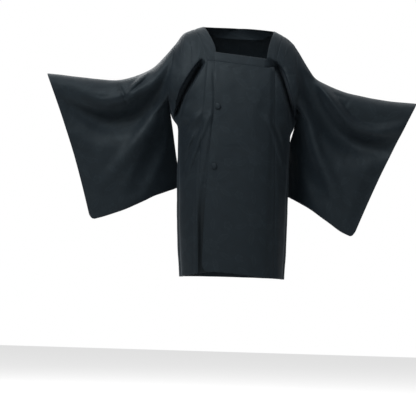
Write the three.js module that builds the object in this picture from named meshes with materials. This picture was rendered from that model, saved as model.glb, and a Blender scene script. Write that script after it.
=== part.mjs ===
// A half-length kimono coat with a square neck, in the hollow form it has when worn with the arms held out.
// Millimetres, +Z up, +X towards the wearer's left, the front faces -Y.
// The origin is the middle of the neck opening at shoulder height, on the plane through both arms.
import * as THREE from "three";

// Cloth and seams
const wall = 2; // silk, lining and interlining together
const seamGap = 0.3; // between two pieces that are sewn together
const overlapLift = 3.6; // how far the upper front lies outside the lower one
const liftStart = 100; // from here towards the wearer's left the upper front comes back down to the body
const bandWidth = 28;
const hemCorner = 30; // radius of the upper front's lower corner
const sleeveCorner = 22; // radius of the sleeve's lower outer corner

// Grid of the cloth walls
const rowsToUnderarm = 12;
const cornerRow = 7; // the row that meets the square neck's corner
const rowsToHem = 10;
const panelColumns = 12;
const overlapColumns = 7;
const gussetColumns = 2;
const sleeveSteps = 12;
const sleeveRowsBelow = 8;

// How deep the worn coat is in front of the arm plane and behind it, and how square its section is
const torso = [
  { z: -830, front: 139, back: 176, square: 2.5 },
  { z: -620, front: 141, back: 170, square: 2.5 },
  { z: -430, front: 140, back: 163, square: 2.5 },
  { z: -300, front: 134, back: 155, square: 2.4 },
  { z: -200, front: 122, back: 146, square: 2.3 },
  { z: -110, front: 102, back: 134, square: 2.2 },
  { z: -50, front: 94, back: 118, square: 2.2 },
  { z: 20, front: 88, back: 104, square: 2.2 },
];
const shoulderFall = { front: 190, back: 135 }; // height over which the shoulder rounds away

// Height of the hem across the front; behind it is level
const hemFront = [
  { x: -170, z: -799 },
  { x: -110, z: -785 },
  { x: -54, z: -778 },
  { x: 20, z: -783 },
  { x: 101, z: -792 },
  { x: 170, z: -798 },
];
const hemBack = -800;
const middleUnderarm = -242; // height of the rows at the centre back, between the two sides' underarms

// Half width of a side gusset
const gusset = [
  { z: -234, half: 17 },
  { z: -400, half: 24 },
  { z: -800, half: 35 },
];

// Behind the neck the band stands up, and its upper edge leans in a little
const backNeckRows = 3;
const backNeckTop = 8;
const backNeckLean = 5;

// The bottom of the square neck drops a little towards the wearer's left
const neckFloor = { x: -43, z: -82, slope: -0.105 };

// Soft folds that fall from the shoulder blades and hips. "turn" is 0 at centre front and 1 at centre back.
const fallingFolds = [
  { turn: 0.43, from: -330, to: -560, depth: 5, spread: 0.035 },
  { turn: 0.57, from: -300, to: -520, depth: 7, spread: 0.035 },
  { turn: 0.68, from: -260, to: -560, depth: 6, spread: 0.04 },
  { turn: 0.82, from: -330, to: -640, depth: 4, spread: 0.045 },
];

// Each side's own sizes. "out" is the distance from the middle to that side.
const sides = {
  right: {
    sign: -1,
    // from the neck to the cuff along the fold on top of the shoulder and sleeve
    topLine: [
      { out: 0, z: 11 },
      { out: 90, z: 8 },
      { out: 113, z: 5 },
      { out: 141, z: -3 },
      { out: 176, z: -18 },
      { out: 199, z: -48 },
      { out: 236, z: -97 },
      { out: 275, z: -133 },
      { out: 327, z: -159 },
      { out: 392, z: -175 },
      { out: 500, z: -169 },
      { out: 611, z: -160 },
    ],
    // half width of the body, wider above the underarm where the armhole cuts it off
    sideLine: [
      { z: -830, out: 166 },
      { z: -640, out: 180 },
      { z: -510, out: 184 },
      { z: -350, out: 185 },
      { z: -314, out: 188 },
      { z: -294, out: 203 },
      { z: -268, out: 214 },
      { z: -234, out: 222 },
      { z: -190, out: 258 },
      { z: -135, out: 286 },
      { z: -60, out: 290 },
      { z: 20, out: 280 },
    ],
    armhole: [
      { z: -234, out: 221 },
      { z: -143, out: 215 },
      { z: -54, out: 202 },
      { z: 0, out: 190 },
    ],
    neckEdge: [
      { z: 6, out: 113 },
      { z: -13, out: 99 },
      { z: -54, out: 77 },
      { z: -76, out: 72 },
    ],
    frontSeam: [
      { z: -108, out: 98 },
      { z: -300, out: 109 },
      { z: -551, out: 116 },
      { z: -800, out: 108 },
    ],
    // the furrow between the chest and the cloth that hangs over the arm
    furrow: [
      { out: 108, z: -96, depth: 0, spread: 10 },
      { out: 147, z: -156, depth: 20, spread: 14 },
      { out: 171, z: -206, depth: 38, spread: 17 },
      { out: 190, z: -262, depth: 42, spread: 18 },
      { out: 199, z: -310, depth: 0, spread: 16 },
    ],
    cuffFoot: { out: 459, z: -626 },
    cuffBow: 9,
    sleeveFoot: [
      { along: 0, out: 171, z: -508 },
      { along: 0.3, out: 251, z: -539 },
      { along: 0.45, out: 294, z: -561 },
      { along: 0.68, out: 358, z: -591 },
      { along: 1, out: 459, z: -626 },
    ],
    openEdge: [
      { down: 0.42, out: 221, z: -234 },
      { down: 0.6, out: 207, z: -314 },
      { down: 0.82, out: 189, z: -425 },
      { down: 1, out: 171, z: -508 },
    ],
    crest: [
      { down: 0, along: 0.14 },
      { down: 0.28, along: 0.14 },
      { down: 0.4, along: 0.22 },
      { down: 0.57, along: 0.42 },
      { down: 0.7, along: 0.6 },
      { down: 1, along: 0.8 },
    ],
    swag: [
      { out: 207, z: -90, depth: 5, spread: 12 },
      { out: 236, z: -196, depth: 12, spread: 24 },
      { out: 295, z: -251, depth: 18, spread: 32 },
      { out: 358, z: -298, depth: 22, spread: 36 },
      { out: 423, z: -303, depth: 20, spread: 34 },
      { out: 475, z: -279, depth: 14, spread: 30 },
      { out: 557, z: -235, depth: 4, spread: 22 },
    ],
  },
  left: {
    sign: 1,
    topLine: [
      { out: 0, z: 11 },
      { out: 90, z: 3 },
      { out: 113, z: -2 },
      { out: 141, z: -16 },
      { out: 162, z: -29 },
      { out: 184, z: -52 },
      { out: 209, z: -93 },
      { out: 247, z: -147 },
      { out: 291, z: -171 },
      { out: 364, z: -196 },
      { out: 494, z: -217 },
      { out: 577, z: -222 },
    ],
    sideLine: [
      { z: -830, out: 168 },
      { z: -640, out: 173 },
      { z: -462, out: 173 },
      { z: -350, out: 174 },
      { z: -334, out: 175 },
      { z: -312, out: 185 },
      { z: -280, out: 194 },
      { z: -250, out: 199 },
      { z: -200, out: 236 },
      { z: -140, out: 262 },
      { z: -60, out: 268 },
      { z: 20, out: 260 },
    ],
    armhole: [
      { z: -250, out: 198 },
      { z: -146, out: 190 },
      { z: -52, out: 184 },
      { z: 0, out: 172 },
    ],
    neckEdge: [
      { z: -2, out: 113 },
      { z: -30, out: 103 },
      { z: -62, out: 95 },
      { z: -96, out: 90 },
    ],
    frontSeam: [
      { z: -124, out: 118 },
      { z: -300, out: 123 },
      { z: -618, out: 131 },
      { z: -800, out: 135 },
    ],
    furrow: [
      { out: 104, z: -98, depth: 0, spread: 10 },
      { out: 140, z: -125, depth: 16, spread: 12 },
      { out: 160, z: -175, depth: 32, spread: 15 },
      { out: 175, z: -232, depth: 36, spread: 16 },
      { out: 184, z: -300, depth: 8, spread: 14 },
      { out: 186, z: -330, depth: 0, spread: 12 },
    ],
    cuffFoot: { out: 386, z: -656 },
    cuffBow: 6,
    sleeveFoot: [
      { along: 0, out: 164, z: -526 },
      { along: 0.3, out: 230, z: -560 },
      { along: 0.6, out: 300, z: -607 },
      { along: 0.8, out: 345, z: -638 },
      { along: 1, out: 386, z: -656 },
    ],
    openEdge: [
      { down: 0.42, out: 198, z: -250 },
      { down: 0.56, out: 189, z: -312 },
      { down: 0.66, out: 178, z: -358 },
      { down: 0.82, out: 174, z: -430 },
      { down: 1, out: 164, z: -526 },
    ],
    crest: [
      { down: 0, along: 0.14 },
      { down: 0.34, along: 0.14 },
      { down: 0.49, along: 0.22 },
      { down: 0.575, along: 0.34 },
      { down: 0.74, along: 0.54 },
      { down: 1, along: 0.8 },
    ],
    swag: [
      { out: 226, z: -168, depth: 8, spread: 18 },
      { out: 254, z: -218, depth: 15, spread: 26 },
      { out: 306, z: -300, depth: 21, spread: 33 },
      { out: 378, z: -346, depth: 21, spread: 35 },
      { out: 462, z: -369, depth: 12, spread: 28 },
    ],
  },
};

// The arm's hollow in a sleeve, and how the two layers close below it
const armHollow = { shoulder: 52, cuff: 34 };
const armForward = 22; // the cuff is this far in front of the shoulder
const cuffPart = 0.8; // from here out along the sleeve its layers close up towards the cuff
const cuffMouthEase = 0.16; // share of the depth over which the mouth's lower corner closes
const edgePart = 0.3; // the open inner edge shapes the sleeve this far out
const seamPart = 0.16; // the armhole seam shapes the sleeve this far out
const swagStart = 0.1; // the swag starts to sink in within this part
const backSwag = 0.5; // the back layer sinks in this much of the front one's depth
const hang = [
  { down: 0, full: 1 },
  { down: 0.14, full: 1 },
  { down: 0.24, full: 0.86 },
  { down: 0.36, full: 0.66 },
  { down: 0.55, full: 0.5 },
  { down: 0.8, full: 0.3 },
  { down: 1, full: 0.12 },
];
const cuffMouth = 0.47; // the cuff is open from the top to here and sewn shut below
const layerGap = 4; // from the middle of the sleeve to either layer where it is flattest
const sewnGap = 1.6;

// The open inner edges below the armhole hang back beside the body
const openEdgeSwing = [
  { down: 0.42, middle: 1, half: 18 },
  { down: 0.52, middle: 34, half: 18 },
  { down: 0.65, middle: 66, half: 15 },
  { down: 0.82, middle: 92, half: 10 },
  { down: 1, middle: 106, half: 5 },
];

const button = {
  radius: 9.5,
  height: 6.5,
  rim: 1.6,
  shank: 3,
  shankHeight: 1.6,
  backShare: 0.8, // radius of the flat back, as a share of the button's
  fullness: 0.7, // the dome is fuller the lower this is
};
const buttons = [
  { name: "upper_button", x: -60, z: -252 },
  { name: "lower_button", x: -66, z: -442 },
];

// Free front edge of the upper front, on the wearer's right, and the hidden edge of the lower one
const upperFrontEdge = [
  { z: -92, x: -75 },
  { z: -238, x: -70 },
  { z: -341, x: -79 },
  { z: -502, x: -88 },
  { z: -608, x: -93 },
  { z: -744, x: -95 },
  { z: -800, x: -95 },
];
const lowerFrontEdge = 92;
const lowerBandEnd = 60;

const rowPower = 1.41; // rows stand closer together near the shoulder
const middleOfSide = -500; // height at which the side's half width places the ends of the hem rows
const furrowReach = 1.6; // a furrow fades out at this many times its spread
const cornerGap = 4; // between the neckband's mitred corners and its level parts
const settlePasses = 8; // a row's height and width depend on each other and settle in this many passes

const clothColour = 0x23272b;
const darkClothColour = 0x1d2024;

// Smooth curve through a table's rows: the value in one column where another column is at x
function read(table, keyColumn, valueColumn, x) {
  const rising = table[0][keyColumn] < table[table.length - 1][keyColumn];
  const rows = rising ? table : [...table].reverse();
  const key = (i) => rows[i][keyColumn];
  const value = (i) => rows[i][valueColumn];
  const last = rows.length - 1;
  if (x <= key(0)) return value(0);
  if (x >= key(last)) return value(last);
  let i = 0;
  while (x > key(i + 1)) i++;
  const slope = (k) => {
    const before = Math.max(k - 1, 0);
    const after = Math.min(k + 1, last);
    return (value(after) - value(before)) / (key(after) - key(before));
  };
  const span = key(i + 1) - key(i);
  const t = (x - key(i)) / span;
  const start = (1 + 2 * t) * (1 - t) ** 2;
  const startSlope = t * (1 - t) ** 2 * span;
  const end = t * t * (3 - 2 * t);
  const endSlope = t * t * (t - 1) * span;
  return start * value(i) + startSlope * slope(i) + end * value(i + 1) + endSlope * slope(i + 1);
}

const mix = (a, b, t) => a + (b - a) * t;
const clamp01 = (t) => Math.min(Math.max(t, 0), 1);
const ease = (t) => clamp01(t) ** 2 * (3 - 2 * clamp01(t));

// Depth of a furrow at a point of the front view: its path is a table of out, z, depth and spread
function furrowDepth(path, out, z) {
  let best = { distance: Infinity, depth: 0, spread: 1 };
  for (let i = 0; i + 1 < path.length; i++) {
    const from = path[i];
    const to = path[i + 1];
    const run = { out: to.out - from.out, z: to.z - from.z };
    const along = (out - from.out) * run.out + (z - from.z) * run.z;
    const t = clamp01(along / (run.out ** 2 + run.z ** 2));
    const distance = Math.hypot(out - from.out - run.out * t, z - from.z - run.z * t);
    if (distance < best.distance)
      best = { distance, depth: mix(from.depth, to.depth, t), spread: mix(from.spread, to.spread, t) };
  }
  const near = Math.min(best.distance / (best.spread * furrowReach), 1);
  return best.depth * (1 - near ** 2) ** 2;
}

// The body's section is a superellipse. The turn is 0 at centre front, 1/2 at the side and 1 at centre back.
const sideOf = (x) => (x < 0 ? sides.right : sides.left);
const turnOfOut = (side, out, z) =>
  Math.asin(clamp01(out / read(side.sideLine, "z", "out", z)) ** (squareAt(z) / 2)) / Math.PI;
const turnOfReach = (reach, depth, z) => Math.acos(clamp01(reach / depth) ** (squareAt(z) / 2)) / Math.PI;
const squareAt = (z) => read(torso, "z", "square", z);

function bodyPoint(side, turn, z) {
  const square = squareAt(z);
  const angle = turn * Math.PI;
  const behind = turn > 0.5;
  const out = read(side.sideLine, "z", "out", z) * Math.abs(Math.sin(angle)) ** (2 / square);
  const reach = read(torso, "z", behind ? "back" : "front", z);
  const below = read(side.topLine, "out", "z", out) - z;
  const fall = shoulderFall[behind ? "back" : "front"];
  const round = Math.sqrt(clamp01(1 - (1 - Math.min(below / fall, 1)) ** 2));
  let depth = reach * Math.abs(Math.cos(angle)) ** (2 / square) * round;
  if (!behind) depth -= furrowDepth(side.furrow, out, z);
  const point = new THREE.Vector3(side.sign * out, behind ? depth : -depth, z);
  for (const fold of fallingFolds) {
    const grown = ease((fold.from - z) / (fold.from - fold.to));
    const near = Math.exp(-(((turn - fold.turn) / fold.spread) ** 2));
    const inward = new THREE.Vector3(-Math.sin(angle) * side.sign, Math.cos(angle), 0);
    point.addScaledVector(inward, fold.depth * grown * near);
  }
  return point;
}

function bodyNormal(side, turn, z) {
  const step = 0.004;
  const drop = 0.8;
  const near = clamp01(turn);
  const farther = bodyPoint(side, Math.min(near + step, 1), z);
  const across = farther.sub(bodyPoint(side, Math.max(near - step, 0), z));
  const down = bodyPoint(side, near, z - drop).sub(bodyPoint(side, near, z + drop));
  const normal = down.cross(across).multiplyScalar(side.sign);
  return normal.normalize();
}

// A point of the body's cloth by its place in the front view
function bodySpot(x, z, behind, lift = 0) {
  const side = sideOf(x);
  const frontTurn = turnOfOut(side, Math.max(Math.abs(x), 0.5), z);
  const turn = behind ? 1 - frontTurn : frontTurn;
  const normal = bodyNormal(side, turn, z);
  const point = bodyPoint(side, turn, z).addScaledVector(normal, lift);
  return { point, normal };
}

// Rows of a side, from the shoulder down to the underarm and on to the hem
const underarm = (side, out = side.armhole[0].out) =>
  mix(middleUnderarm, side.armhole[0].z, ease(out / side.frontSeam[0].out));
const rowFraction = (row) => (row / rowsToUnderarm) ** rowPower;
const lastRow = rowsToUnderarm + rowsToHem;

function rowHeight(side, row, out, behind) {
  const foot = underarm(side, out);
  if (row <= rowsToUnderarm) return mix(read(side.topLine, "out", "z", out), foot, rowFraction(row));
  const hem = behind ? hemBack : read(hemFront, "x", "z", side.sign * out);
  return mix(foot, hem, (row - rowsToUnderarm) / rowsToHem);
}

function armholeSpot(side, row, behind) {
  let out = side.armhole[0].out;
  for (let pass = 0; pass < settlePasses; pass++)
    out = read(side.armhole, "z", "out", rowHeight(side, row, out, behind));
  return { out, z: rowHeight(side, row, out, behind) };
}

// Where a row starts: the neckband's outer edge, the front seam, or the centre back seam
function innerOut(side, row, behind) {
  const shoulderOut = side.neckEdge[0].out + bandWidth;
  if (behind) return row >= backNeckRows ? 0 : shoulderOut * Math.cos((row / backNeckRows) * (Math.PI / 2));
  if (row >= cornerRow) {
    let out = side.frontSeam[0].out;
    for (let pass = 0; pass < settlePasses; pass++)
      out = read(side.frontSeam, "z", "out", rowHeight(side, row, out, behind));
    return out;
  }
  const t = row / cornerRow;
  return mix(shoulderOut, side.frontSeam[0].out, (ease(t) + t) / 2);
}

// The turn at each end of a row
function rowTurns(side, row, behind) {
  const inner = innerOut(side, row, behind);
  const innerZ = rowHeight(side, row, inner, behind);
  const innerTurn = turnOfOut(side, inner, innerZ);
  let outerTurn;
  if (row < rowsToUnderarm) {
    const spot = armholeSpot(side, row, behind);
    outerTurn = turnOfOut(side, spot.out, spot.z);
  } else {
    const z = rowHeight(side, row, read(side.sideLine, "z", "out", middleOfSide), behind);
    const half = read(gusset, "z", "half", z);
    outerTurn = turnOfReach(half, read(torso, "z", behind ? "back" : "front", z), z);
  }
  return { innerTurn, outerTurn };
}

function rowSpot(side, row, turn, behind) {
  let out = side.armhole[0].out;
  let z = 0;
  for (let pass = 0; pass < settlePasses; pass++) {
    z = rowHeight(side, row, out, behind);
    out = read(side.sideLine, "z", "out", z) * Math.sin(turn * Math.PI) ** (2 / squareAt(z));
  }
  const fullTurn = behind ? 1 - turn : turn;
  return { point: bodyPoint(side, fullTurn, z), normal: bodyNormal(side, fullTurn, z), z, out };
}

// A closed wall from rows of spots, each with a point on the cloth's middle and a normal
function clothWall(name, rows, colour, { loop = false, inset = seamGap / 2 } = {}) {
  const count = rows[0].length;
  const place = rows.map((row) => row.map((spot) => spot.point.clone()));
  const pull = (point, towards, by = inset) =>
    point.addScaledVector(towards.clone().sub(point).normalize(), by);
  const lastR = rows.length - 1;
  for (let c = 0; c < count; c++) {
    pull(place[0][c], rows[1][c].point, rows[0][c].inset);
    pull(place[lastR][c], rows[lastR - 1][c].point);
  }
  if (!loop)
    for (let r = 0; r <= lastR; r++) {
      pull(place[r][0], rows[r][1].point);
      pull(place[r][count - 1], rows[r][count - 2].point);
    }
  const positions = [];
  for (const face of [0.5, -0.5])
    for (let r = 0; r <= lastR; r++)
      for (let c = 0; c < count; c++)
        positions.push(...place[r][c].clone().addScaledVector(rows[r][c].normal, face * wall).toArray());
  const at = (face, r, c) => (face * (lastR + 1) + r) * count + (c % count);
  const triangles = [];
  const quad = (a, b, c, d) => triangles.push(a, b, c, a, c, d);
  const columns = loop ? count : count - 1;
  for (let c = 0; c < columns; c++) {
    for (let r = 0; r < lastR; r++) {
      quad(at(0, r, c), at(0, r + 1, c), at(0, r + 1, c + 1), at(0, r, c + 1));
      quad(at(1, r, c), at(1, r, c + 1), at(1, r + 1, c + 1), at(1, r + 1, c));
    }
    quad(at(0, 0, c + 1), at(1, 0, c + 1), at(1, 0, c), at(0, 0, c));
    quad(at(0, lastR, c), at(1, lastR, c), at(1, lastR, c + 1), at(0, lastR, c + 1));
  }
  if (!loop)
    for (let r = 0; r < lastR; r++) {
      quad(at(0, r, 0), at(1, r, 0), at(1, r + 1, 0), at(0, r + 1, 0));
      quad(at(0, r + 1, columns), at(1, r + 1, columns), at(1, r, columns), at(0, r, columns));
    }
  const geometry = new THREE.BufferGeometry();
  geometry.setAttribute("position", new THREE.Float32BufferAttribute(positions, 3));
  geometry.setIndex(triangles);
  if (volume(geometry) < 0) flip(geometry);
  geometry.computeVertexNormals();
  const mesh = new THREE.Mesh(geometry, clothMaterial(colour));
  mesh.name = name;
  return mesh;
}

function volume(geometry) {
  const p = geometry.attributes.position;
  const index = geometry.index.array;
  const corner = (i) => new THREE.Vector3().fromBufferAttribute(p, index[i]);
  let sum = 0;
  for (let i = 0; i < index.length; i += 3) sum += corner(i).dot(corner(i + 1).cross(corner(i + 2)));
  return sum;
}

function flip(geometry) {
  const index = geometry.index.array;
  for (let i = 0; i < index.length; i += 3) [index[i + 1], index[i + 2]] = [index[i + 2], index[i + 1]];
}

const clothMaterial = (colour) => new THREE.MeshStandardMaterial({ color: colour, roughness: 0.55 });

// Normals of a sheet from its own points, for cloth that isn't on the body's surface
function ownNormals(rows, loop) {
  const count = rows[0].length;
  rows.forEach((row, r) =>
    row.forEach((spot, c) => {
      const before = loop ? row[(c + count - 1) % count] : row[Math.max(c - 1, 0)];
      const after = loop ? row[(c + 1) % count] : row[Math.min(c + 1, count - 1)];
      const above = rows[Math.max(r - 1, 0)][c].point;
      const below = rows[Math.min(r + 1, rows.length - 1)][c].point;
      const along = below.clone().sub(above);
      const round = after.point.clone().sub(before.point);
      spot.own = along.cross(round).normalize();
    }),
  );
}

// One length of cloth from the front hem over the shoulder to the back hem
function bodyPanel(name, side) {
  const rows = [];
  for (let step = -lastRow; step <= lastRow; step++) {
    const behind = step > 0;
    const row = Math.abs(step);
    const { innerTurn, outerTurn } = rowTurns(side, row, behind);
    const spots = [];
    for (let c = 0; c <= panelColumns; c++)
      spots.push(rowSpot(side, row, mix(innerTurn, outerTurn, c / panelColumns), behind));
    rows.push(spots);
  }
  return clothWall(name, rows, clothColour);
}

function sideGusset(name, side) {
  const rows = [];
  for (let row = rowsToUnderarm; row <= lastRow; row++) {
    const front = rowTurns(side, row, false).outerTurn;
    const back = 1 - rowTurns(side, row, true).outerTurn;
    const frontZ = rowSpot(side, row, front, false).z;
    const backZ = rowSpot(side, row, 1 - back, true).z;
    const spots = [];
    for (let c = 0; c <= gussetColumns; c++) {
      const t = c / gussetColumns;
      const turn = mix(front, back, t);
      const z = mix(frontZ, backZ, t);
      spots.push({ point: bodyPoint(side, turn, z), normal: bodyNormal(side, turn, z) });
    }
    rows.push(spots);
  }
  return clothWall(name, rows, clothColour);
}

const floorOfNeck = (x) => neckFloor.z + (x - neckFloor.x) * neckFloor.slope;

// A front overlap panel from its seam to its free edge. The upper one lifts as it passes over the lower one.
function frontOverlap(name, side, freeEdge, lifted) {
  const rows = [];
  const seam = (row) => {
    const out = innerOut(side, row, false);
    return { x: side.sign * out, z: rowHeight(side, row, out, false) };
  };
  const top = seam(cornerRow);
  const foot = seam(lastRow);
  for (let row = cornerRow; row <= lastRow; row++) {
    const start = seam(row);
    const down = (start.z - top.z) / (foot.z - top.z);
    const spots = [];
    for (let c = 0; c <= overlapColumns; c++) {
      const t = c / overlapColumns;
      let x = mix(start.x, freeEdge(start.z), t);
      const topZ = mix(top.z, floorOfNeck(x) - bandWidth, ease(t * overlapColumns));
      let z = mix(topZ, read(hemFront, "x", "z", x), down);
      if (lifted) ({ x, z } = roundedHemCorner(x, z, freeEdge(z)));
      spots.push(bodySpot(x, z, false, lifted ? liftAt(x) : 0));
    }
    rows.push(spots);
  }
  return clothWall(name, rows, lifted ? clothColour : darkClothColour, { inset: seamGap });
}

const liftAt = (x) => overlapLift * (1 - ease((x - liftStart) / (sides.left.frontSeam[0].out - liftStart)));

// Draws a point near the corner of a sheet onto the quarter circle that rounds the corner
function roundIn(fromEdgeA, fromEdgeB, radius) {
  const p = clamp01(1 - fromEdgeA / radius);
  const q = clamp01(1 - fromEdgeB / radius);
  return {
    a: fromEdgeA < radius ? radius * (1 - p * Math.sqrt(1 - q ** 2 / 2)) : fromEdgeA,
    b: fromEdgeB < radius ? radius * (1 - q * Math.sqrt(1 - p ** 2 / 2)) : fromEdgeB,
  };
}

function roundedHemCorner(x, z, edge) {
  const hem = read(hemFront, "x", "z", x);
  const { a, b } = roundIn(x - edge, z - hem, hemCorner);
  return { x: edge + a, z: hem + b };
}

// Band round the square neck, from the upper front's free end round behind the neck to its hidden end
function neckband() {
  const { left, right } = sides;
  const stations = [];
  const level = (x, lifted) => ({
    inner: bodySpot(x, floorOfNeck(x), false, lifted ? liftAt(x) : 0),
    outer: bodySpot(x, floorOfNeck(x) - bandWidth, false, lifted ? liftAt(x) : 0),
  });
  const floorSteps = 6;
  const endX = upperFrontEdge[0].x;
  const leftCorner = left.neckEdge[left.neckEdge.length - 1].out;
  const rightCorner = -right.neckEdge[right.neckEdge.length - 1].out;
  for (let i = 0; i < floorSteps; i++)
    stations.push(level(mix(endX, leftCorner - cornerGap, i / (floorSteps - 1)), true));
  const upright = (side, row, behind) => {
    const out = innerOut(side, row, behind);
    const z = rowHeight(side, row, out, behind);
    const outer = bodySpot(side.sign * out, z, behind, 0);
    if (!behind) {
      const innerZ = mix(side.neckEdge[0].z, side.neckEdge[side.neckEdge.length - 1].z, row / cornerRow);
      const innerOutHere = read(side.neckEdge, "z", "out", innerZ);
      return { inner: bodySpot(side.sign * innerOutHere, innerZ, false, 0), outer };
    }
    const t = row / backNeckRows;
    const top = side.neckEdge[0];
    const point = outer.point.clone();
    point.x = side.sign * top.out * Math.cos(t * (Math.PI / 2));
    point.z = mix(top.z, backNeckTop, ease(t));
    point.y = outer.point.y - backNeckLean * Math.sin(t * (Math.PI / 2));
    return { inner: { point, normal: outer.normal }, outer };
  };
  for (let row = cornerRow; row >= 0; row--) stations.push(upright(left, row, false));
  for (let row = 1; row <= backNeckRows; row++) stations.push(upright(left, row, true));
  for (let row = backNeckRows - 1; row >= 0; row--) stations.push(upright(right, row, true));
  for (let row = 1; row <= cornerRow; row++) stations.push(upright(right, row, false));
  for (let i = 0; i < floorSteps; i++)
    stations.push(level(mix(rightCorner + cornerGap, lowerBandEnd, i / (floorSteps - 1)), false));
  const rows = stations.map(({ inner, outer }) => {
    const middle = {
      point: inner.point.clone().lerp(outer.point, 0.5),
      normal: inner.normal.clone().add(outer.normal).normalize(),
    };
    return [inner, middle, outer];
  });
  return clothWall("neckband", rows, clothColour, { inset: seamGap });
}

// A sleeve is a flat bag folded along its top, sewn below and part of the way up the cuff
function sleeve(name, side) {
  const start = side.openEdge[0].down;
  const cuffTop = side.topLine[side.topLine.length - 1];
  const seamTop = armholeSpot(side, 0, false);
  const topCurve = (along) => {
    const out = mix(seamTop.out, cuffTop.out, along);
    return { out, z: read(side.topLine, "out", "z", out) };
  };
  const footCurve = (along) => ({
    out: read(side.sleeveFoot, "along", "out", along),
    z: read(side.sleeveFoot, "along", "z", along),
  });
  const cuffCurve = (down) => ({
    out: mix(cuffTop.out, side.cuffFoot.out, down) - side.cuffBow * Math.sin(Math.PI * down),
    z: mix(cuffTop.z, side.cuffFoot.z, down),
  });
  const innerCurve = (down, row) => {
    if (row <= rowsToUnderarm) return armholeSpot(side, row, false);
    return { out: read(side.openEdge, "down", "out", down), z: read(side.openEdge, "down", "z", down) };
  };
  const patch = (along, down, row) => {
    const t = topCurve(along);
    const f = footCurve(along);
    const i = innerCurve(down, row);
    const c = cuffCurve(down);
    const corner = [topCurve(0), topCurve(1), footCurve(0), footCurve(1)];
    const blend = (k) =>
      mix(i[k], c[k], along) +
      mix(t[k], f[k], down) -
      mix(mix(corner[0][k], corner[1][k], along), mix(corner[2][k], corner[3][k], along), down);
    return { out: blend("out"), z: blend("z") };
  };
  const height = Math.abs(side.cuffFoot.z - cuffTop.z);
  const reach = cuffTop.out - seamTop.out;

  const layerSpot = (along, down, row, behind) => {
    const rounded = roundIn((1 - along) * reach, (1 - down) * height, sleeveCorner);
    const a = 1 - rounded.a / reach;
    const d = 1 - rounded.b / height;
    const place = patch(a, d, row);
    const radius = mix(armHollow.shoulder, armHollow.cuff, along);
    const below = Math.min((down * height) / radius, 1);
    const arch = radius * Math.sqrt(1 - (1 - below) ** 2);
    const nearCuff = ease((along - cuffPart) / (1 - cuffPart));
    const closed = ease((down - cuffMouth) / cuffMouthEase + 0.5) * nearCuff;
    const least = mix(layerGap, sewnGap, nearCuff);
    let half = Math.max(arch * read(hang, "down", "full", down), Math.min(least, arch));
    half = mix(half, sewnGap, closed);
    const forward = -armForward * along;
    const crest = read(side.crest, "down", "along", down);
    const inward = 1 - Math.sin((Math.min(along / crest, 1) * Math.PI) / 2);
    const edgeMiddle = read(openEdgeSwing, "down", "middle", down);
    const edgeHalf = read(openEdgeSwing, "down", "half", down);
    const hung = row > rowsToUnderarm;
    let middle = forward + (hung || down > start ? edgeMiddle * inward : 0);
    if (down > start) half = mix(half, edgeHalf, inward * (1 - ease(along / edgePart)));
    if (down === 1) half = 0;
    let y = behind ? middle + half : middle - half;
    const sink = furrowDepth(side.swag, place.out, place.z) * ease(along / swagStart);
    y += behind ? -backSwag * sink : sink;
    const point = new THREE.Vector3(side.sign * place.out, y, place.z);
    if (!hung) {
      const spot = armholeSpot(side, row, behind);
      const turn = turnOfOut(side, spot.out, spot.z);
      const seam = bodyPoint(side, behind ? 1 - turn : turn, spot.z);
      point.lerp(seam, 1 - ease(along / seamPart));
      if (along === 0) return { point: seam, bodySide: bodyNormal(side, behind ? 1 - turn : turn, spot.z) };
    }
    return { point };
  };

  const ring = [];
  for (let row = 0; row <= rowsToUnderarm; row++)
    ring.push({ row, down: start * rowFraction(row), behind: false });
  for (let i = 1; i <= sleeveRowsBelow; i++) {
    const down = mix(start, 1, Math.sin((i / sleeveRowsBelow) * (Math.PI / 2)));
    ring.push({ row: rowsToUnderarm + i, down: i === sleeveRowsBelow ? 1 : down, behind: false });
  }
  const behindRing = ring.slice(1, -1).reverse().map((entry) => ({ ...entry, behind: true }));
  const all = [...ring, ...behindRing];
  const rows = [];
  for (let s = 0; s <= sleeveSteps; s++) {
    const along = s / sleeveSteps;
    rows.push(all.map(({ row, down, behind }) => layerSpot(along, down, row, behind)));
  }
  ownNormals(rows, true);
  for (const row of rows)
    for (const spot of row) {
      spot.normal = spot.own.clone().multiplyScalar(side.sign);
      // where the sleeve leaves the body at an angle it starts clear of the body's wall
      if (spot.bodySide) spot.inset = 4 * seamGap + wall * spot.bodySide.clone().cross(spot.normal).length();
    }
  return clothWall(name, rows, clothColour, { loop: true });
}

// A domed button covered in the coat's cloth, on a short shank
function coveredButton({ name, x, z }) {
  const { radius, height, rim, shank, shankHeight, backShare, fullness } = button;
  const profile = [
    new THREE.Vector2(0, 0),
    new THREE.Vector2(shank, 0),
    new THREE.Vector2(shank, shankHeight),
    new THREE.Vector2(radius * backShare, shankHeight),
  ];
  const domeSteps = 5;
  for (let i = 0; i <= domeSteps; i++) {
    const angle = (i / domeSteps) * (Math.PI / 2);
    profile.push(
      new THREE.Vector2(
        i === domeSteps ? 0 : radius * Math.cos(angle) ** fullness,
        mix(shankHeight + rim, height, Math.sin(angle)),
      ),
    );
  }
  const mesh = new THREE.Mesh(new THREE.LatheGeometry(profile, 16), clothMaterial(clothColour));
  const spot = bodySpot(x, z, false, overlapLift);
  mesh.quaternion.setFromUnitVectors(new THREE.Vector3(0, 1, 0), spot.normal);
  mesh.position.copy(spot.point).addScaledVector(spot.normal, wall / 2 + seamGap);
  mesh.name = name;
  return mesh;
}

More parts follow.
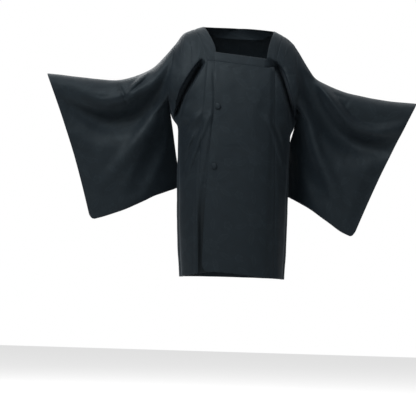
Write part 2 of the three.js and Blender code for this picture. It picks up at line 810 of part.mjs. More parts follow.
const coat = new THREE.Group();
coat.add(bodyPanel("right_body_panel", sides.right));
coat.add(bodyPanel("left_body_panel", sides.left));
coat.add(frontOverlap("lower_front_overlap", sides.right, () => lowerFrontEdge, false));
coat.add(frontOverlap("upper_front_overlap", sides.left, (z) => read(upperFrontEdge, "z", "x", z), true));
coat.add(sideGusset("right_side_gusset", sides.right));
coat.add(sideGusset("left_side_gusset", sides.left));
coat.add(neckband());
coat.add(sleeve("right_sleeve", sides.right));
coat.add(sleeve("left_sleeve", sides.left));
for (const place of buttons) coat.add(coveredButton(place));

export default coat;
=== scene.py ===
# Half-length silk kimono coat in its worn, hollow form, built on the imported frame
import math

import bmesh
import bpy
import numpy as np
from mathutils import Matrix, Vector


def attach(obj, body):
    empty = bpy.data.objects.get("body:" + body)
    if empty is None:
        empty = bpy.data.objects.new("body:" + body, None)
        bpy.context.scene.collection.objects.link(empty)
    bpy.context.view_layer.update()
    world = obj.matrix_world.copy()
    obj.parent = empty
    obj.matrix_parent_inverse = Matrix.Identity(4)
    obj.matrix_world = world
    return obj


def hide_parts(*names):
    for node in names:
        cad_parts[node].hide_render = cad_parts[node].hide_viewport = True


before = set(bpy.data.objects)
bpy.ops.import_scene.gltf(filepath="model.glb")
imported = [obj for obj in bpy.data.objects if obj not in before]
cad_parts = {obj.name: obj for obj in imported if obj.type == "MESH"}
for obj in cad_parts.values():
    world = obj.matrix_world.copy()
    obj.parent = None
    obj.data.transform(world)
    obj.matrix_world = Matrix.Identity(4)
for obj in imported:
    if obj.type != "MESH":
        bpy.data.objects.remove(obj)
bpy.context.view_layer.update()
mm = 0.001  # the tables are in millimetres, as on a paper pattern

cloth = {
    "thickness": 1.9,
    "seamGap": 0.3,
    "overlapLift": 3.6,  # the upper front lies this far outside the lower one
    "liftStart": 100,
    "bandWidth": 28,
    "seamTuck": 0.7,  # how deep a sewn edge rolls in
    "seamTuckWidth": 3,
    "stillEdge": 18,  # the cloth lies evenly along its edges, this far in
    "turnedEdge": 0.5,  # the rounding of a cut edge
}

# Depth of the worn coat in front of the arm plane and behind it, and how square its section is
torso = {
    "z": [-830, -620, -430, -300, -200, -110, -50, 20],
    "front": [139, 141, 140, 134, 122, 102, 94, 88],
    "back": [176, 170, 163, 155, 146, 134, 118, 104],
    "square": [2.5, 2.5, 2.5, 2.4, 2.3, 2.2, 2.2, 2.2],
}
shoulderFall = {"front": 190, "back": 135}
creaseForm = {"backPull": 1.7, "slitSharp": 4.5, "lipOut": 15, "lipLean": 0.18}
hemFront = {"x": [-170, -110, -54, 20, 101, 170], "z": [-799, -785, -778, -783, -792, -798]}
hemBack = -800
middleUnderarm = -242
midBody = -500
gusset = {"z": [-800, -400, -234], "half": [35, 24, 17]}
neckFloor = {"x": -43, "z": -82, "slope": -0.105}
backNeck = {"rows": 0.25, "top": 8, "lean": 5, "squareFrom": 0.4, "squareOver": 0.5}
rowPower = 1.41
cornerRow = 7 / 12

# "out" is the distance from the middle towards that side
right = {
    "sign": -1,
    "topLine": {
        "out": [0, 90, 113, 141, 176, 199, 236, 275, 327, 392, 500, 611],
        "z": [11, 8, 5, -3, -18, -48, -97, -133, -159, -175, -169, -160],
    },
    "sideLine": {
        "z": [-830, -640, -510, -350, -314, -294, -268, -234, -190, -135, -60, 20],
        "out": [166, 180, 184, 185, 188, 203, 214, 222, 258, 286, 290, 280],
    },
    "armhole": {"z": [-234, -143, -54, 0], "out": [221, 215, 202, 190]},
    "neckEdge": {"z": [-76, -54, -13, 6], "out": [72, 77, 99, 113]},
    "frontSeam": {"z": [-800, -551, -300, -108], "out": [108, 116, 109, 98]},
    "cuffFoot": (459, -626),
    "cuffBow": 9,
    "sleeveFoot": {
        "along": [0, 0.3, 0.45, 0.68, 1],
        "out": [171, 251, 294, 358, 459],
        "z": [-508, -539, -561, -591, -626],
    },
    "openEdge": {"down": [0.42, 0.6, 0.82, 1], "out": [221, 207, 189, 171], "z": [-234, -314, -425, -508]},
    "crest": {"down": [0, 0.28, 0.4, 0.57, 0.7, 1], "along": [0.14, 0.14, 0.2, 0.35, 0.5, 0.7]},
    # each furrow is a path of out, z, depth and spread; a ridge has a depth below nought
    "bodyFurrows": [
        [(108, -96, 0, 10), (147, -156, 9, 11), (171, -206, 15, 12), (190, -262, 17, 13), (199, -310, 0, 14)],
    ],
    "swags": [
        [(214, -118, 0, 8), (238, -200, 8, 14), (263, -238, 12, 17), (300, -274, 18, 19), (352, -298, 23, 21),
         (423, -304, 25, 22), (495, -288, 20, 20), (566, -246, 8, 15), (596, -216, 0, 12)],
    ],
    "sleeveFurrows": [
        [(207, -90, 5, 12), (236, -196, 12, 24), (295, -251, 18, 32), (358, -298, 22, 36),
         (423, -303, 20, 34), (475, -279, 14, 30), (557, -235, 4, 22)],
    ],
}
left = {
    "sign": 1,
    "topLine": {
        "out": [0, 90, 113, 141, 162, 184, 209, 247, 291, 364, 494, 577],
        "z": [11, 3, -2, -16, -29, -52, -93, -147, -171, -196, -217, -222],
    },
    "sideLine": {
        "z": [-830, -640, -462, -350, -334, -312, -280, -250, -200, -140, -60, 20],
        "out": [168, 173, 173, 174, 175, 185, 194, 199, 236, 262, 268, 260],
    },
    "armhole": {"z": [-250, -146, -52, 0], "out": [198, 190, 184, 172]},
    "neckEdge": {"z": [-96, -62, -30, -2], "out": [90, 95, 103, 113]},
    "frontSeam": {"z": [-800, -618, -300, -124], "out": [135, 131, 123, 118]},
    "cuffFoot": (386, -656),
    "cuffBow": 6,
    "sleeveFoot": {
        "along": [0, 0.3, 0.6, 0.8, 1],
        "out": [164, 230, 300, 345, 386],
        "z": [-526, -560, -607, -638, -656],
    },
    "openEdge": {"down": [0.42, 0.56, 0.66, 0.82, 1], "out": [198, 189, 178, 174, 164],
                 "z": [-250, -312, -358, -430, -526]},
    "crest": {"down": [0, 0.34, 0.49, 0.575, 0.74, 1], "along": [0.14, 0.14, 0.2, 0.3, 0.48, 0.72]},
    "bodyFurrows": [
        [(104, -98, 0, 10), (140, -125, 8, 10), (160, -175, 13, 11), (175, -232, 15, 12),
         (184, -300, 5, 12), (186, -330, 0, 12)],
    ],
    "swags": [
        [(222, -150, 0, 10), (250, -212, 10, 15), (292, -276, 17, 19), (330, -322, 22, 22),
         (375, -354, 24, 23), (445, -362, 19, 21), (512, -348, 9, 18), (552, -332, 0, 14)],
    ],
    "sleeveFurrows": [
        [(226, -168, 8, 18), (254, -218, 15, 26), (306, -300, 21, 33), (378, -346, 21, 35),
         (462, -369, 12, 28)],
    ],
}
for side in (right, left):
    side["underarm"] = side["armhole"]["z"][0]

# Soft folds from the shoulder blades and hips: turn is 0 at centre front and 1 at centre back
fallingFolds = [
    {"turn": 0.43, "from": -330, "to": -560, "depth": 5, "spread": 0.035},
    {"turn": 0.57, "from": -300, "to": -520, "depth": 7, "spread": 0.035},
    {"turn": 0.68, "from": -260, "to": -560, "depth": 6, "spread": 0.04},
    {"turn": 0.82, "from": -330, "to": -640, "depth": 4, "spread": 0.045},
]


# A cubic from start to end as t goes from 0 to 1, with its slope at each
def curve(t, start, end, startSlope, endSlope):
    return ((1 + 2 * t) * (1 - t) ** 2 * start + t * (1 - t) ** 2 * startSlope
            + t * t * (3 - 2 * t) * end + t * t * (t - 1) * endSlope)


# Smooth curve through a table's columns, at any x
def read(table, key, value, x):
    keys, values = np.array(table[key], float), np.array(table[value], float)
    if keys[0] > keys[-1]:
        keys, values = keys[::-1], values[::-1]
    count = len(keys)
    before, after = np.maximum(np.arange(count) - 1, 0), np.minimum(np.arange(count) + 1, count - 1)
    slopes = (values[after] - values[before]) / (keys[after] - keys[before])
    x = np.clip(np.asarray(x, float), keys[0], keys[-1])
    i = np.clip(np.searchsorted(keys, x, side="right") - 1, 0, count - 2)
    span = keys[i + 1] - keys[i]
    t = (x - keys[i]) / span
    return curve(t, values[i], values[i + 1], span * slopes[i], span * slopes[i + 1])


def mix(a, b, t):
    return a + (b - a) * t


def ease(t):
    t = np.clip(t, 0, 1)
    return t * t * (3 - 2 * t)


# The larger of two values, with the change from one to the other rounded; it stays a where b is far below
def softMax(a, b, soft):
    return np.maximum(a, b) + 0.5 * soft * np.exp(-np.abs(a - b) / soft) * (b > a - 6 * soft)


# Puts more points on a path of out, z, depth and spread, on a smooth curve through it
def smoothPath(path, steps=4):
    knots = np.array(path, float)
    last = len(knots) - 1
    slopes = np.array([(knots[min(i + 1, last)] - knots[max(i - 1, 0)]) / 2 for i in range(last + 1)])
    result, spots = [], np.arange(steps) / steps
    for i in range(last):
        result += [curve(t, knots[i], knots[i + 1], slopes[i], slopes[i + 1]) for t in spots]
    return result + [knots[last]]


# Depth of a fold at each place of the front view; "under" widens its lower side
def furrowDepth(path, out, z, reach=1.6, sharp=2.0, under=1.0):
    bestDistance = np.full(np.shape(out), 1e9)
    depth, spread, lower = np.zeros(np.shape(out)), np.ones(np.shape(out)), np.zeros(np.shape(out))
    rounded = smoothPath(path)
    for (outA, zA, depthA, spreadA), (outB, zB, depthB, spreadB) in zip(rounded, rounded[1:]):
        runOut, runZ = outB - outA, zB - zA
        t = np.clip(((out - outA) * runOut + (z - zA) * runZ) / (runOut ** 2 + runZ ** 2), 0, 1)
        awayOut, awayZ = out - outA - runOut * t, z - zA - runZ * t
        distance = np.hypot(awayOut, awayZ)
        nearer = distance < bestDistance
        bestDistance = np.where(nearer, distance, bestDistance)
        depth = np.where(nearer, mix(depthA, depthB, t), depth)
        spread = np.where(nearer, mix(spreadA, spreadB, t), spread)
        lower = np.where(nearer, ease(0.5 - awayZ / np.maximum(distance, 1) * 0.5), lower)
    near = np.minimum(bestDistance / (spread * reach * mix(1, under, lower)), 1)
    return depth * (1 - near ** sharp) ** 2


def squareAt(z):
    return read(torso, "z", "square", z)


def turnOfOut(side, out, z):
    share = np.clip(out / read(side["sideLine"], "z", "out", z), 0, 1)
    return np.arcsin(share ** (squareAt(z) / 2)) / math.pi


# A point of the body's cloth; turn is 0 at centre front, 1/2 at the side and 1 at centre back
def bodyPoint(side, turn, z):
    square, angle = squareAt(z), turn * math.pi
    behind = turn > 0.5
    out = read(side["sideLine"], "z", "out", z) * np.abs(np.sin(angle)) ** (2 / square)
    reach = np.where(behind, read(torso, "z", "back", z), read(torso, "z", "front", z))
    fall = np.where(behind, shoulderFall["back"], shoulderFall["front"])
    below = np.minimum((read(side["topLine"], "out", "z", out) - z) / fall, 1)
    roundOver = np.sqrt(np.clip(1 - (1 - below) ** 2, 0, 1))
    depth = reach * np.abs(np.cos(angle)) ** (2 / square) * roundOver
    for furrow in side["bodyFurrows"]:
        depth = depth - np.where(behind, 0, furrowDepth(furrow, out, z))
    for furrow in side["backFurrows"]:
        depth = depth - np.where(behind, furrowDepth(furrow, out, z), 0) * creaseForm["backPull"]
    lip = 0
    for slit in side["slits"]:  # the cloth outside a deep crease leans over it
        depth = depth - np.where(behind, 0, furrowDepth(slit, out, z, sharp=creaseForm["slitSharp"]))
        lean = furrowDepth(slit, out - creaseForm["lipOut"], z) * creaseForm["lipLean"]
        lip = lip + np.where(behind, 0, lean)
    x, y = side["sign"] * (out - lip), np.where(behind, depth, -depth)
    for fold in fallingFolds:
        grown = ease((fold["from"] - z) / (fold["from"] - fold["to"]))
        amount = fold["depth"] * grown * np.exp(-(((turn - fold["turn"]) / fold["spread"]) ** 2))
        x = x - np.sin(angle) * side["sign"] * amount
        y = y + np.cos(angle) * amount
    return np.stack([x, y, z + 0 * x], axis=-1)


def bodyNormal(side, turn, z):
    step, drop = 0.004, 0.8
    across = bodyPoint(side, np.minimum(turn + step, 1), z) - bodyPoint(side, np.maximum(turn - step, 0), z)
    down = bodyPoint(side, turn, z - drop) - bodyPoint(side, turn, z + drop)
    normal = np.cross(down, across) * side["sign"]
    return normal / np.linalg.norm(normal, axis=-1, keepdims=True)


def frontSpot(x, z, lift):
    turns = [turnOfOut(side, np.maximum(np.abs(x), 0.5), z) for side in (right, left)]
    points = [bodyPoint(side, turn, z) + bodyNormal(side, turn, z) * lift[..., None]
              for side, turn in zip((right, left), turns)]
    return np.where((x < 0)[..., None], points[0], points[1])


# Rows of a side run from 0 at the shoulder to 1 at the underarm and 2 at the hem
def rowHeight(side, row, out, behind):
    foot = mix(middleUnderarm, side["underarm"], ease(out / side["frontSeam"]["out"][-1]))
    upper = mix(read(side["topLine"], "out", "z", out), foot, np.minimum(row, 1) ** rowPower)
    hem = hemBack if behind else read(hemFront, "x", "z", side["sign"] * out)
    return np.where(row <= 1, upper, mix(foot, hem, row - 1))


def armholeOut(side, row):
    out = np.full(np.shape(row), float(side["armhole"]["out"][0]))
    for _ in range(8):
        out = read(side["armhole"], "z", "out", rowHeight(side, row, out, False))
    return out


def innerOut(side, row, behind):
    shoulder = side["neckEdge"]["out"][-1] + cloth["bandWidth"]
    if behind:
        t = np.minimum(row / backNeck["rows"], 1)
        squareness = ease((t - backNeck["squareFrom"]) / backNeck["squareOver"])
        return shoulder * mix(np.cos(t * math.pi / 2), np.sqrt(1 - t ** 2), squareness)
    seamTop = float(side["frontSeam"]["out"][-1])
    seam = np.full(np.shape(row), seamTop)
    for _ in range(4):
        seam = read(side["frontSeam"], "z", "out", rowHeight(side, row, seam, False))
    t = row / cornerRow
    return np.where(row >= cornerRow, seam, mix(shoulder, seamTop, ease(t) * 0.5 + t * 0.5))


def rowTurns(side, row, behind):
    inner = innerOut(side, row, behind)
    innerTurn = turnOfOut(side, inner, rowHeight(side, row, inner, behind))
    arm = armholeOut(side, np.minimum(row, 1))
    armTurn = turnOfOut(side, arm, rowHeight(side, np.minimum(row, 1), arm, behind))
    z = rowHeight(side, row, read(side["sideLine"], "z", "out", midBody), behind)
    share = read(gusset, "z", "half", z) / read(torso, "z", "back" if behind else "front", z)
    sideTurn = np.arccos(share ** (squareAt(z) / 2)) / math.pi
    return innerTurn, np.where(row < 1, armTurn, sideTurn)


def rowPlace(side, row, turn, behind):
    out, z = np.full(np.shape(turn), float(side["armhole"]["out"][0])), None
    for _ in range(6):
        z = rowHeight(side, row, out, behind)
        out = read(side["sideLine"], "z", "out", z) * np.sin(turn * math.pi) ** (2 / squareAt(z))
    return z


# The deep creases from the neck's corners to the underarms, sharper than the solids carry them
right["slits"] = [
    [(110, -105, 0, 6), (120, -118, 30, 8.5), (136, -139, 54, 11), (157, -173, 64, 12), (177, -209, 66, 12),
     (187, -240, 62, 11), (193, -274, 38, 9), (196, -310, 0, 6)],
]
left["slits"] = [
    [(110, -107, 0, 6), (122, -118, 28, 8.5), (138, -137, 48, 10.5), (154, -172, 60, 11), (167, -211, 62, 11),
     (178, -253, 54, 10), (184, -296, 26, 8), (186, -326, 0, 6)],
]

# Finer folds than the solids carry, listed one by one from how this coat hangs
right["bodyFurrows"] += [
    [(104, -262, 0, 6), (124, -288, -5, 7), (144, -312, -8, 7.5), (160, -334, -6, 7), (176, -358, 0, 6)],
    [(134, -286, 0, 5), (152, -305, 5, 5.5), (168, -326, 4, 5), (180, -346, 0, 5)],
    [(118, -322, 0, 5), (134, -344, -5, 6), (152, -372, -7, 7), (166, -398, -4, 6), (176, -420, 0, 5)],
    [(80, -268, 0, 7), (94, -300, -4.5, 8), (119, -367, -7.5, 9), (140, -428, -6, 8.5),
     (158, -490, -3.5, 8), (168, -540, 0, 7)],
    [(104, -290, 0, 6), (122, -330, 3.5, 7), (134, -352, 3.5, 6), (146, -388, 3, 6), (160, -440, 2.5, 6),
     (170, -480, 0, 6)],
    [(132, -344, 0, 5), (141, -362, -3, 5), (152, -388, -5, 5.5), (161, -412, -3, 5), (168, -432, 0, 5)],
    [(98, -340, 0, 6), (114, -384, 2.5, 7), (132, -440, 3, 7), (148, -500, 0, 7)],
    [(113, -450, 0, 9), (119, -520, -3.5, 8), (119, -600, -5, 8), (113, -700, -5, 8), (110, -810, -4.5, 8)],
    [(146, -560, 0, 14), (150, -680, 3, 16), (148, -810, 4, 18)],
]
left["bodyFurrows"] += [
    [(92, -272, 0, 6), (99, -287, -2.5, 6), (119, -332, -4.5, 6), (136, -384, -4, 6.5), (154, -437, -3, 6),
     (164, -470, 0, 6)],
    [(110, -292, 0, 6), (130, -332, 3, 6), (146, -374, 3, 6), (162, -420, 0, 6)],
    [(126, -300, 0, 5), (146, -336, -2.6, 6), (162, -376, 0, 6)],
    [(132, -440, 0, 7), (142, -520, -2, 7), (143, -640, -2.5, 8), (146, -806, -2.5, 8)],
    [(150, -440, 0, 14), (158, -560, 2.5, 15), (156, -700, 0, 15)],
]
# Behind, the sleeves' weight pulls the cloth from the shoulder blades to the underarms
right["backFurrows"] = [
    [(128, -104, 0, 10), (150, -140, 7, 13), (176, -190, 13, 15), (196, -244, 15, 14), (203, -290, 0, 12)],
    [(104, -120, 0, 9), (128, -166, -4, 11), (158, -222, -6, 12), (182, -280, -3, 11), (190, -312, 0, 10)],
    [(84, -214, 0, 8), (118, -250, 4.5, 10), (152, -284, 6, 10), (178, -306, 0, 8)],
    [(60, -262, 0, 7), (100, -290, 3, 8), (144, -316, 4.5, 8), (176, -330, 0, 7)],
    [(96, -320, 0, 8), (128, -352, -3, 9), (152, -398, -4.5, 9), (166, -450, 0, 8)],
    [(44, -330, 0, 12), (58, -420, 3.5, 15), (66, -560, 5, 18), (70, -806, 6, 22)],
    [(110, -400, 0, 12), (122, -500, 4, 15), (126, -640, 5.5, 18), (130, -806, 6, 20)],
]
left["backFurrows"] = [
    [(120, -102, 0, 10), (142, -142, 8, 12), (162, -194, 13, 14), (178, -248, 15, 13), (186, -304, 0, 12)],
    [(96, -128, 0, 9), (122, -176, -4, 10), (148, -232, -6, 11), (170, -292, 0, 10)],
    [(70, -230, 0, 8), (106, -266, 4, 10), (140, -300, 5.5, 10), (166, -326, 0, 8)],
    [(88, -306, 0, 7), (116, -338, 3, 8), (146, -366, 4, 8), (164, -388, 0, 7)],
    [(100, -360, 0, 9), (120, -420, -3.5, 9), (138, -500, 0, 9)],
    [(30, -380, 0, 12), (38, -480, 3, 14), (44, -620, 4.5, 18), (40, -806, 5.5, 20)],
    [(96, -440, 0, 12), (104, -540, 4.5, 15), (108, -660, 5, 18), (104, -806, 6, 20)],
]
right["sleeveFurrows"] += [
    [(214, -96, 0, 12), (262, -176, -10, 20), (316, -212, -14, 23), (400, -238, -13, 23),
     (470, -226, -7, 20), (540, -200, 0, 16)],
    [(226, -236, 0, 12), (281, -305, -9, 17), (337, -400, -12, 20), (392, -476, -7, 21), (428, -540, 0, 20)],
    [(222, -268, 0, 12), (246, -350, 9, 20), (278, -430, 13, 25), (318, -520, 8, 26), (344, -574, 0, 24)],
    [(388, -180, 0, 5), (374, -203, 6, 5.5), (360, -230, 5, 5.5), (351, -252, 0, 5)],
    [(336, -190, 0, 4), (366, -206, 2.6, 4), (398, -214, 0, 4)],
    [(330, -214, 0, 4), (362, -232, 2.8, 5), (396, -240, 0, 4)],
    [(398, -196, 0, 4), (432, -204, 1.8, 5), (478, -200, 0, 5)],
    [(392, -224, 0, 4), (430, -230, 1.8, 5), (470, -222, 0, 5)],
    [(340, -236, 0, 5), (372, -256, 2.2, 5), (410, -262, 0, 5)],
    [(280, -144, 0, 6), (312, -172, -9, 7), (350, -208, 0, 6)],
    [(286, -166, 0, 6), (318, -192, 6, 6), (348, -220, 0, 5)],
    [(446, -330, 0, 20), (474, -430, 4, 26), (446, -560, 0, 24)],
    [(300, -360, 0, 7), (322, -404, 2.4, 8), (352, -430, 0, 8)],
    [(322, -340, 0, 7), (356, -372, 1.8, 9), (404, -386, 0, 9)],
]
left["sleeveFurrows"] += [
    [(226, -112, 0, 9), (262, -160, -12, 13), (308, -232, -21, 17), (368, -298, -26, 19),
     (440, -318, -21, 19), (510, -304, -9, 17), (552, -288, 0, 14)],
    [(206, -244, 0, 10), (228, -283, -6, 13), (246, -340, -10, 16), (266, -400, -13, 18), (318, -500, -9, 20),
     (345, -570, 0, 18)],
    [(206, -310, 0, 12), (226, -400, 9, 19), (258, -480, 11, 23), (292, -560, 0, 22)],
    [(368, -206, 0, 5), (352, -228, 1.4, 6), (334, -256, 0, 5)],
    [(312, -222, 0, 6), (340, -232, 1.1, 7), (372, -231, 0, 6)],
    [(300, -196, 0, 5), (330, -206, 2, 5), (362, -216, 0, 5)],
    [(404, -420, 0, 20), (420, -500, 3.5, 24), (392, -600, 0, 22)],
    [(300, -380, 0, 8), (326, -420, 2.4, 9), (352, -470, 0, 9)],
]


# Length along a grid's lines from where each starts
def runAlong(points, axis):
    lengths = np.cumsum(np.linalg.norm(np.diff(points, axis=axis), axis=2), axis=axis)
    start = np.zeros_like(lengths[:1] if axis == 0 else lengths[:, :1])
    return np.concatenate([start, lengths], axis=axis)


# Lays a grid of cloth on a surface given by across and down, both from 0 to 1, and unrolls its uv map
# in metres. centre is a point inside the curve of the sheet, and shade gives painted shade that darkens the
# silk's colour in a hollow.
def layCloth(name, columns, rows, surface, seams=(), closeRound=False, centre=None, warpRound=False,
             shade=None):
    mesh = bmesh.new()
    uv = mesh.loops.layers.uv.new("cloth")
    # a float layer of painted shade, which darkens the silk's colour where it is below 1
    paintedShadeLayer = mesh.verts.layers.float.new("shade")
    bmesh.ops.create_grid(mesh, x_segments=columns, y_segments=rows, size=0.5)
    verts = list(mesh.verts)
    across = np.array([v.co.x for v in verts]) + 0.5
    down = np.array([v.co.y for v in verts]) + 0.5
    order = np.lexsort((np.round(across, 6), np.round(down, 6)))
    wide = len(set(np.round(across, 6)))
    tall = len(verts) // wide
    points = surface(across[order].reshape(tall, wide), down[order].reshape(tall, wide))
    normals = sheetNormals(points, closeRound, centre)
    alongRow, alongColumn = runAlong(points, 1), runAlong(points, 0)
    toEdge = {"start": alongRow, "end": alongRow[:, -1:] - alongRow,
              "top": alongColumn, "bottom": alongColumn[-1:] - alongColumn}
    tuck = np.zeros((tall, wide))
    for seam in seams:
        tuck = np.maximum(tuck, np.exp(-(toEdge[seam] / cloth["seamTuckWidth"]) ** 2))
    freeEdges = ("top", "bottom") if closeRound else tuple(toEdge)
    still = ease(np.minimum.reduce([toEdge[edge] for edge in freeEdges]) / cloth["stillEdge"])
    points = points - normals * (tuck * cloth["seamTuck"])[..., None]
    points = points + normals * (handWaves(alongRow, alongColumn) * still)[..., None]
    if closeRound:
        points[:, -1] = points[:, 0]
    place = {int(index): k for k, index in enumerate(order)}
    flatPoints = points.reshape(-1, 3) * mm
    weft, warp = (alongColumn, alongRow) if warpRound else (alongRow, alongColumn)
    flatWeft, flatWarp = weft.reshape(-1), warp.reshape(-1)
    flatShade = (np.ones((tall, wide)) if shade is None else shade(points)).reshape(-1)
    for index, vert in enumerate(verts):
        k = place[index]
        vert.co = flatPoints[k]
        vert[paintedShadeLayer] = float(flatShade[k])
        for loop in vert.link_loops:
            loop[uv].uv = (flatWeft[k] * mm, -flatWarp[k] * mm)
    if closeRound:
        bmesh.ops.remove_doubles(mesh, verts=mesh.verts, dist=0.02 * mm)
    bmesh.ops.recalc_face_normals(mesh, faces=mesh.faces)
    mesh.normal_update()
    out, spot = Vector(normals[tall // 2, wide // 3]), Vector(points[tall // 2, wide // 3] * mm)
    probe = min(mesh.faces, key=lambda face: (face.calc_center_median() - spot).length)
    if probe.normal.dot(out) < 0:
        bmesh.ops.reverse_faces(mesh, faces=mesh.faces)
    return finishCloth(name, mesh)


# Small unevenness that hung silk always has: each wave is a height and two sines,
# and each sine has its change for each mm across and along, and its start
silkWaves = [
    (0.45, (1 / 21, 1 / 47, 0), (0, 1 / 33, 1.3)),
    (0.28, (1 / 9.5, -1 / 29, 0.6), (1 / 41, 1 / 17, 0)),
    (0.5, (1 / 37, -1 / 71, 2.1), (-1 / 90, 1 / 58, 0.4)),
]


def handWaves(across, along):
    total = 0
    for height, *sines in silkWaves:
        first, second = (np.sin(across * a + along * b + start) for a, b, start in sines)
        total = total + height * first * second
    return total


def sheetNormals(points, closeRound, centre):
    if closeRound:
        ring = np.concatenate([points[:, -2:-1], points, points[:, 1:2]], axis=1)
        across = np.gradient(ring, axis=1)[:, 1:-1]
    else:
        across = np.gradient(points, axis=1)
    normals = np.cross(np.gradient(points, axis=0), across)
    normals /= np.maximum(np.linalg.norm(normals, axis=2, keepdims=True), 1e-9)
    middle = points.mean(axis=1, keepdims=True) if centre is None else np.array(centre)
    facing = np.sign(np.sum(normals * (points - middle), axis=2).mean())
    return normals * facing


def makePiece(name, mesh):
    data = bpy.data.meshes.new(name)
    for face in mesh.faces:
        face.smooth = True
    mesh.to_mesh(data)
    mesh.free()
    piece = bpy.data.objects.new(name, data)
    bpy.context.collection.objects.link(piece)
    return piece


def finishCloth(name, mesh):
    piece = makePiece(name, mesh)
    wall = piece.modifiers.new("wall", "SOLIDIFY")
    wall.thickness = cloth["thickness"] * mm
    wall.offset = 0
    edge = piece.modifiers.new("edge", "BEVEL")
    edge.width = cloth["turnedEdge"] * mm
    edge.segments = 2
    edge.limit_method = "ANGLE"
    edge.angle_limit = math.radians(60)
    return piece


axisOfBody = (0, 20, -300)


# One length of cloth from the front hem over the shoulder to the back hem
def bodyPanel(name, side, columns=104, rows=288):
    def surface(across, down):
        points = np.zeros(across.shape + (3,))
        for behind in (False, True):
            chosen = down > 0.5 if behind else down <= 0.5
            row = np.abs(down[chosen] * 4 - 2)
            inner, outer = rowTurns(side, row, behind)
            turn = mix(inner, outer, across[chosen])
            z = rowPlace(side, row, turn, behind)
            points[chosen] = bodyPoint(side, 1 - turn if behind else turn, z)
        return points
    return layCloth(name, columns, rows, surface, seams=("start", "end"), centre=axisOfBody)


def sideGusset(name, side, columns=10, rows=80):
    def surface(across, down):
        row = down + 1
        _, front = rowTurns(side, row, False)
        _, back = rowTurns(side, row, True)
        z = mix(rowPlace(side, row, front, False), rowPlace(side, row, back, True), across)
        return bodyPoint(side, mix(front, 1 - back, across), z)
    return layCloth(name, columns, rows, surface, seams=("start", "end"), centre=axisOfBody)


def floorOfNeck(x):
    return neckFloor["z"] + (x - neckFloor["x"]) * neckFloor["slope"]


def liftAt(x):
    seam = left["frontSeam"]["out"][-1]
    return cloth["overlapLift"] * (1 - ease((x - cloth["liftStart"]) / (seam - cloth["liftStart"])))


# Draws points near a sheet's corner onto the quarter circle that rounds it
def roundIn(fromEdgeA, fromEdgeB, radius):
    p, q = np.clip(1 - fromEdgeA / radius, 0, 1), np.clip(1 - fromEdgeB / radius, 0, 1)
    a = np.where(fromEdgeA < radius, radius * (1 - p * np.sqrt(1 - q ** 2 / 2)), fromEdgeA)
    b = np.where(fromEdgeB < radius, radius * (1 - q * np.sqrt(1 - p ** 2 / 2)), fromEdgeB)
    return a, b


upperFront = {
    "edge": {"z": [-800, -744, -608, -502, -341, -238, -92], "x": [-95, -95, -93, -88, -79, -70, -75]},
    "hemCorner": 30,
    "furrows": [  # the pull of each button, and the soft hang between them
        [(-64, -262, 0, 9), (-46, -300, 1.6, 12), (-30, -350, 0, 12)],
        [(-70, -452, 0, 9), (-52, -492, 1.4, 12), (-40, -540, 0, 12)],
        [(-50, -382, 0, 5), (0, -379, 0.8, 5), (66, -384, 0, 5)],
        [(98, -180, 0, 12), (84, -250, 2, 16), (78, -330, 0, 16)],
    ],
}
lowerFront = {
    "edge": {"z": [-800, -92], "x": [92, 92]},
    "furrows": [  # it falls back beside the upper front's free edge, most of all below the last button
        [(-80, -120, 0, 5), (-75, -180, 2.4, 5), (-72, -250, 3, 5), (-78, -340, 3, 5), (-88, -430, 3, 6),
         (-95, -500, 3, 6)],
        [(-94, -470, 0, 8), (-97, -560, 6, 11), (-98, -680, 9, 12), (-97, -800, 9, 12)],
    ],
    # where it lies back under the upper one, below this height and right of this line, its colour is darkened
    # as painted shade
    "shade": {"amount": 0.55, "fromZ": -500, "overZ": 130, "fromX": -40, "overX": 30},
}
slopeShare = 1 / 7  # the panels' tops take up the neck's slope this far across


def frontOverlap(name, side, form, columns=60, rows=150):
    lifted = form is upperFront

    def surface(across, down):
        row = mix(cornerRow, 2, down)
        seam = innerOut(side, row, False)
        seamZ = rowHeight(side, row, seam, False)
        ends = innerOut(side, np.array([cornerRow, 2.0]), False)
        topZ, footZ = rowHeight(side, np.array([cornerRow, 2.0]), ends, False)
        share = (seamZ - topZ) / (footZ - topZ)
        x = mix(side["sign"] * seam, read(form["edge"], "z", "x", seamZ), across)
        top = mix(topZ, floorOfNeck(x) - cloth["bandWidth"], ease(across / slopeShare))
        z = mix(top, read(hemFront, "x", "z", x), share)
        lift = np.zeros(x.shape)
        if lifted:
            edge, hem = read(form["edge"], "z", "x", z), read(hemFront, "x", "z", x)
            a, b = roundIn(x - edge, z - hem, form["hemCorner"])
            x, z, lift = edge + a, hem + b, liftAt(edge + a)
        points = frontSpot(x, z, lift)
        for furrow in form["furrows"]:
            points[..., 1] += furrowDepth(furrow, x, z)
        return points

    # painted shade: the lower front's colour darkens below fromZ and past fromX
    def shade(points):
        dark = form["shade"]
        low = ease((dark["fromZ"] - points[..., 2]) / dark["overZ"])
        return 1 - dark["amount"] * low * ease((dark["fromX"] - points[..., 0]) / dark["overX"])
    return layCloth(name, columns, rows, surface, seams=("start", "top"), centre=axisOfBody,
                    shade=None if lifted else shade)


band = {
    "steps": 35, "backSteps": 25,  # stations along each stretch of the front, and along half the back
    "cornerGap": 4, "lowerEnd": 60, "lap": 1.06,  # it laps a little over its seam
    "crown": 1.1, "crownPower": 0.6, "crownMiddle": (0, 10, -60), "crownRise": 0.3, "middle": (0, 0, -120),
}


